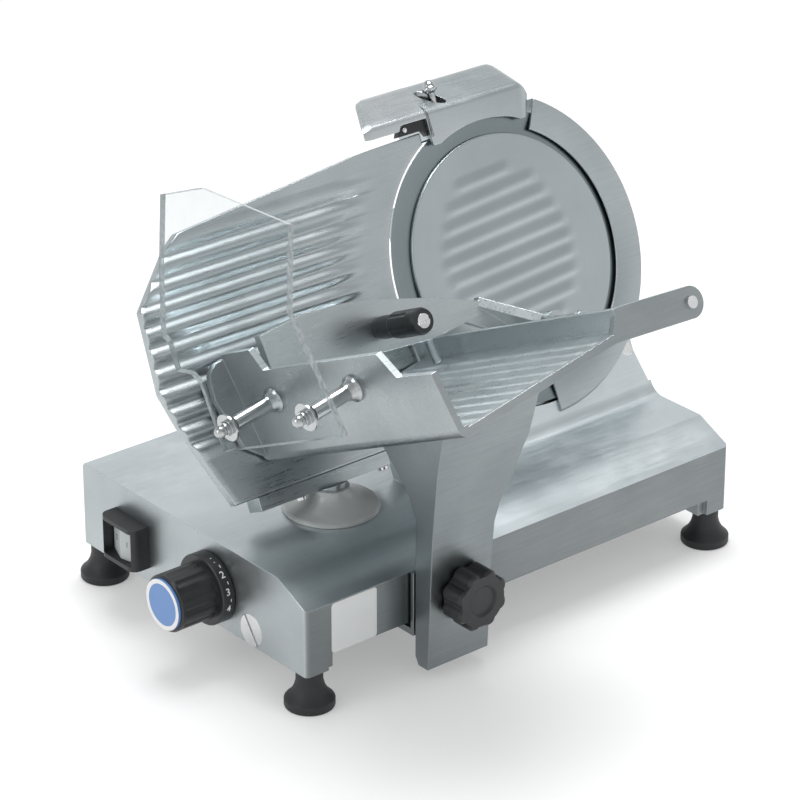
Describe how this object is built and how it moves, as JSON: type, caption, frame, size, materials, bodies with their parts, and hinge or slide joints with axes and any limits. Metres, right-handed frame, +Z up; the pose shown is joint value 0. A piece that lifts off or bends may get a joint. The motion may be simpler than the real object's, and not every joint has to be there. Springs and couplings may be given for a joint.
{
  "type": "food_slicer",
  "caption": "Electric gravity-feed food slicer: an inclined round blade, a sliding product tray with a clear hand guard and a press, a gauge plate set by a dial, and a sharpener.",
  "frame": {"origin": "The middle of the machine's bounding box at the level of the worktop that its feet stand on.", "axes": "X runs from the control panel to the far end, along the carriage's stroke. Y runs from the carriage's side to the back. Z is up."},
  "size_m": [0.5342, 0.4362, 0.4108],
  "materials": {
    "cast_aluminium": "satin anodised casting with a fine brushed grain",
    "steel_sheet": "brushed stainless sheet and bar",
    "bright_steel": "turned and ground bright steel",
    "blade_steel": "ground blade steel with circular grain",
    "machined_aluminium": "machined aluminium",
    "black_plastic": "black moulded plastic with a soft sheen",
    "chromed_screw": "chromed screw",
    "grey_rocker": "light grey rocker",
    "blue_disc": "blue disc with a white rim",
    "white_plastic": "white moulded plastic",
    "painted_motor": "dark enamel",
    "belt_rubber": "ribbed drive belt",
    "foot_rubber": "black rubber",
    "bronze": "sintered bronze",
    "clear_guard": "clear sheet, see-through with bright edges",
    "truing_grit": "fine abrasive stone",
    "grinding_grit": "coarse abrasive stone"
  },
  "bodies": {
    "base": {"base_housing": "cast_aluminium", "rubber_feet": "foot_rubber", "foot_studs": "bright_steel", "bottom_cover": "steel_sheet", "rear_cover": "cast_aluminium", "cover_screws": "bright_steel", "motor_body": "painted_motor", "motor_capacitor": "white_plastic", "drive_belt": "belt_rubber", "spindle_bearings": "bright_steel", "blade_cover": "cast_aluminium", "cover_tie_rod": "bright_steel", "slice_deflector": "steel_sheet", "wall_screws": "bright_steel", "guide_rod": "bright_steel", "guide_rod_plugs": "bright_steel", "support_rail": "steel_sheet", "gauge_guide_rods": "bright_steel", "cable_gland": "black_plastic", "switch_housing": "black_plastic", "sharpener_post": "bright_steel"},
    "cover_knob": {"cover_lock_knob": "black_plastic"},
    "blade_rotor": {"blade_pulley": "machined_aluminium", "blade_spindle": "bright_steel", "blade": "blade_steel", "blade_screws": "bright_steel"},
    "motor_rotor": {"motor_pulley": "machined_aluminium"},
    "carriage": {"carriage_slider": "machined_aluminium", "slider_bushes": "bronze", "carriage_bracket": "steel_sheet", "arm_spacer": "black_plastic", "carriage_arm": "cast_aluminium", "arm_knob_stud": "bright_steel", "carriage_tray": "cast_aluminium", "guard_standoffs": "bright_steel", "guard_screws": "black_plastic", "hand_guard": "clear_guard", "press_rod": "bright_steel"},
    "clamp_knob": {"arm_knob": "black_plastic"},
    "roller": {"carriage_roller": "white_plastic"},
    "press_sleeve": {"press_bush": "bright_steel"},
    "press": {"press_casting": "cast_aluminium", "press_grip": "black_plastic", "grip_screw": "chromed_screw", "press_spikes": "bright_steel"},
    "gauge": {"gauge_plate": "cast_aluminium", "gauge_bar": "steel_sheet", "gauge_screws": "bright_steel", "gauge_post": "bright_steel", "post_collar": "white_plastic", "gauge_slider": "machined_aluminium"},
    "dial": {"dial_knob": "black_plastic", "dial_disc": "blue_disc", "dial_cam": "bright_steel"},
    "rocker": {"switch_rocker": "grey_rocker"},
    "sharpener": {"sharpener_hood": "cast_aluminium", "sharpener_wing": "cast_aluminium"},
    "lock_pin": {"sharpener_pin": "bright_steel"},
    "truing_button": {"truing_stone": "truing_grit"},
    "grinding_button": {"grinding_stone": "grinding_grit"}
  },
  "joints": [
    {"name": "carriage_slide", "type": "slide", "parent": "base", "child": "carriage", "axis": [1, 0, 0], "range_m": [0, 0.22]},
    {"name": "roller_turn", "type": "hinge", "parent": "carriage", "child": "roller", "pos_m": [-0.0821, -0.08259, 0.06405], "axis": [0, 1, 0], "continuous": true},
    {"name": "clamp_knob_turn", "type": "hinge", "parent": "carriage", "child": "clamp_knob", "pos_m": [-0.0791, -0.13259, 0.0736], "axis": [0, 1, 0], "range_deg": [0, 290]},
    {"name": "press_slide", "type": "slide", "parent": "carriage", "child": "press_sleeve", "axis": [0, -0.9063, 0.4226], "range_m": [-0.028, 0.11]},
    {"name": "press_swing", "type": "hinge", "parent": "press_sleeve", "child": "press", "pos_m": [0.07848, -0.01872, 0.22137], "axis": [0, 0.9063, -0.4226], "range_deg": [0, 100]},
    {"name": "gauge_slide", "type": "slide", "parent": "base", "child": "gauge", "axis": [0, 1, 0], "range_m": [0, 0.014]},
    {"name": "dial_turn", "type": "hinge", "parent": "base", "child": "dial", "pos_m": [-0.2171, 0.02741, 0.065], "axis": [1, 0, 0], "range_deg": [0, 320]},
    {"name": "blade_spin", "type": "hinge", "parent": "base", "child": "blade_rotor", "pos_m": [0.1291, 0.06234, 0.24377], "axis": [0, -0.9063, 0.4226], "continuous": true},
    {"name": "motor_spin", "type": "hinge", "parent": "base", "child": "motor_rotor", "pos_m": [0.1569, 0.08107, 0.1183], "axis": [0, -0.9063, 0.4226], "continuous": true},
    {"name": "rocker_rock", "type": "hinge", "parent": "base", "child": "rocker", "pos_m": [-0.2211, 0.13641, 0.064], "axis": [0, 0, 1], "range_deg": [0, 12]},
    {"name": "cover_knob_turn", "type": "hinge", "parent": "base", "child": "cover_knob", "pos_m": [0.1291, 0.15297, 0.20151], "axis": [0, -0.9063, 0.4226], "range_deg": [0, 300]},
    {"name": "sharpener_lift", "type": "slide", "parent": "base", "child": "sharpener", "axis": [0, 0.4226, 0.9063], "range_m": [0, 0.03]},
    {"name": "lock_pin_pull", "type": "slide", "parent": "sharpener", "child": "lock_pin", "axis": [0, 0.4226, 0.9063], "range_m": [0, 0.004], "stiffness_N_per_m": 600},
    {"name": "truing_push", "type": "slide", "parent": "sharpener", "child": "truing_button", "axis": [0, -0.9063, 0.4226], "range_m": [0, 0.006], "stiffness_N_per_m": 500},
    {"name": "grinding_push", "type": "slide", "parent": "sharpener", "child": "grinding_button", "axis": [0, -0.9063, 0.4226], "range_m": [0, 0.006], "stiffness_N_per_m": 500}
  ],
  "couplings": [
    {"joint": "roller_turn", "follows": "carriage_slide", "rad_per_m": 100},
    {"joint": "dial_turn", "follows": "gauge_slide", "rad_per_m": 398.93},
    {"joint": "motor_spin", "follows": "blade_spin", "ratio": 3.1538}
  ]
}
